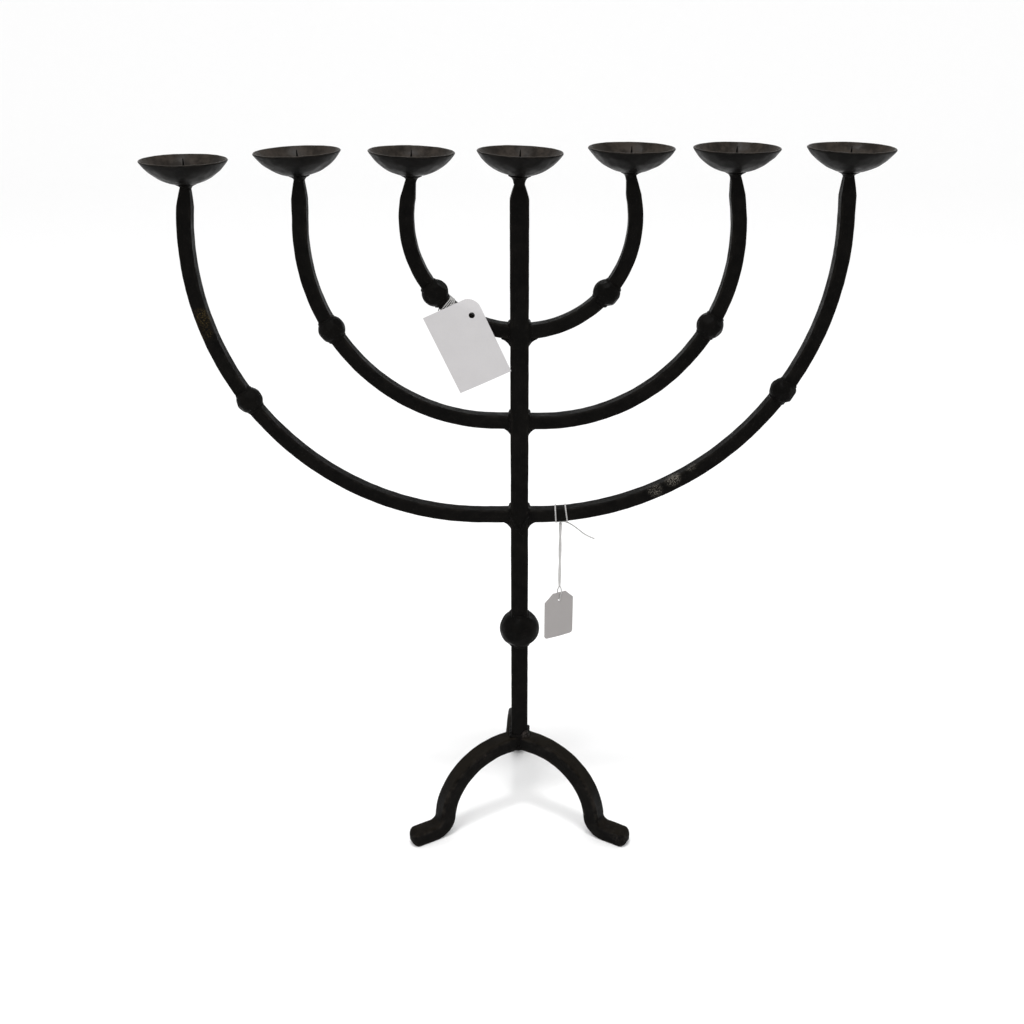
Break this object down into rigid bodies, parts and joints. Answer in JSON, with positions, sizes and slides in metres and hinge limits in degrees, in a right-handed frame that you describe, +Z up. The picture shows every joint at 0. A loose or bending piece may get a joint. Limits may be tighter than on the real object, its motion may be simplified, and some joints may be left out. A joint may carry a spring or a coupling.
{
  "type": "seven-branch menorah",
  "caption": "Forged iron branched candelabrum with round drip pans and prickets, balls on the arms, an arched tripod base and blank paper tags tied on.",
  "frame": {"origin": "on the floor, under the middle of the menorah's bounding box without the string and ticket", "axes": "+Z up along the stem, +X along the row of arms to the right seen from the front, +Y to the back, where the single rear leg is"},
  "size_m": [0.636, 0.1994, 0.6865],
  "materials": {
    "forged_iron": "blackened and waxed, satin, with hammer facets and browned worn edges",
    "pan_iron": "blackened, brownish satin, lightly hammered",
    "leg_iron": "blackened, worn to grey-brown on ridges and toes",
    "weld_metal": "blackened weld, uneven",
    "tag_paper": "matt white card",
    "twine": "twisted cotton string"
  },
  "bodies": {
    "menorah": {"stem": "forged_iron", "stem_ball": "forged_iron", "arm_left_outer": "forged_iron", "arm_left_middle": "forged_iron", "arm_left_inner": "forged_iron", "arm_right_inner": "forged_iron", "arm_right_middle": "forged_iron", "arm_right_outer": "forged_iron", "knop_left_outer": "forged_iron", "knop_left_middle": "forged_iron", "knop_left_inner": "forged_iron", "knop_right_inner": "forged_iron", "knop_right_middle": "forged_iron", "knop_right_outer": "forged_iron", "pan_left_outer": "pan_iron", "pan_left_middle": "pan_iron", "pan_left_inner": "pan_iron", "pan_centre": "pan_iron", "pan_right_inner": "pan_iron", "pan_right_middle": "pan_iron", "pan_right_outer": "pan_iron", "pricket_left_outer": "forged_iron", "pricket_left_middle": "forged_iron", "pricket_left_inner": "forged_iron", "pricket_centre": "forged_iron", "pricket_right_inner": "forged_iron", "pricket_right_middle": "forged_iron", "pricket_right_outer": "forged_iron", "leg_front_left": "leg_iron", "leg_front_right": "leg_iron", "leg_rear": "leg_iron", "welds_inner_arms": "weld_metal", "welds_middle_arms": "weld_metal", "welds_outer_arms": "weld_metal", "welds_under_pans": "weld_metal", "welds_stem_foot": "weld_metal", "weld_under_crown": "weld_metal", "card_tie": "twine", "ticket_loop": "twine", "ticket_knot": "twine", "ticket_tail": "twine"},
    "card": {"card_string": "twine", "tag_card": "tag_paper"},
    "ticket_cord": {"ticket_strands": "twine"},
    "ticket": {"ticket_eye": "twine", "ticket": "tag_paper"}
  },
  "joints": [
    {"name": "card_swing", "type": "hinge", "parent": "menorah", "child": "card", "pos_m": [-0.05467, -0.03821, 0.5535], "axis": [-1, 0, 0], "range_deg": [0, 75]},
    {"name": "ticket_swing", "type": "hinge", "parent": "menorah", "child": "ticket_cord", "pos_m": [0.04183, -0.02991, 0.3383], "axis": [1, 0, 0], "range_deg": [-60, 60]},
    {"name": "ticket_twist", "type": "hinge", "parent": "ticket_cord", "child": "ticket", "pos_m": [0.04183, -0.02991, 0.2682], "axis": [0, 0, 1], "range_deg": [-90, 90]}
  ]
}
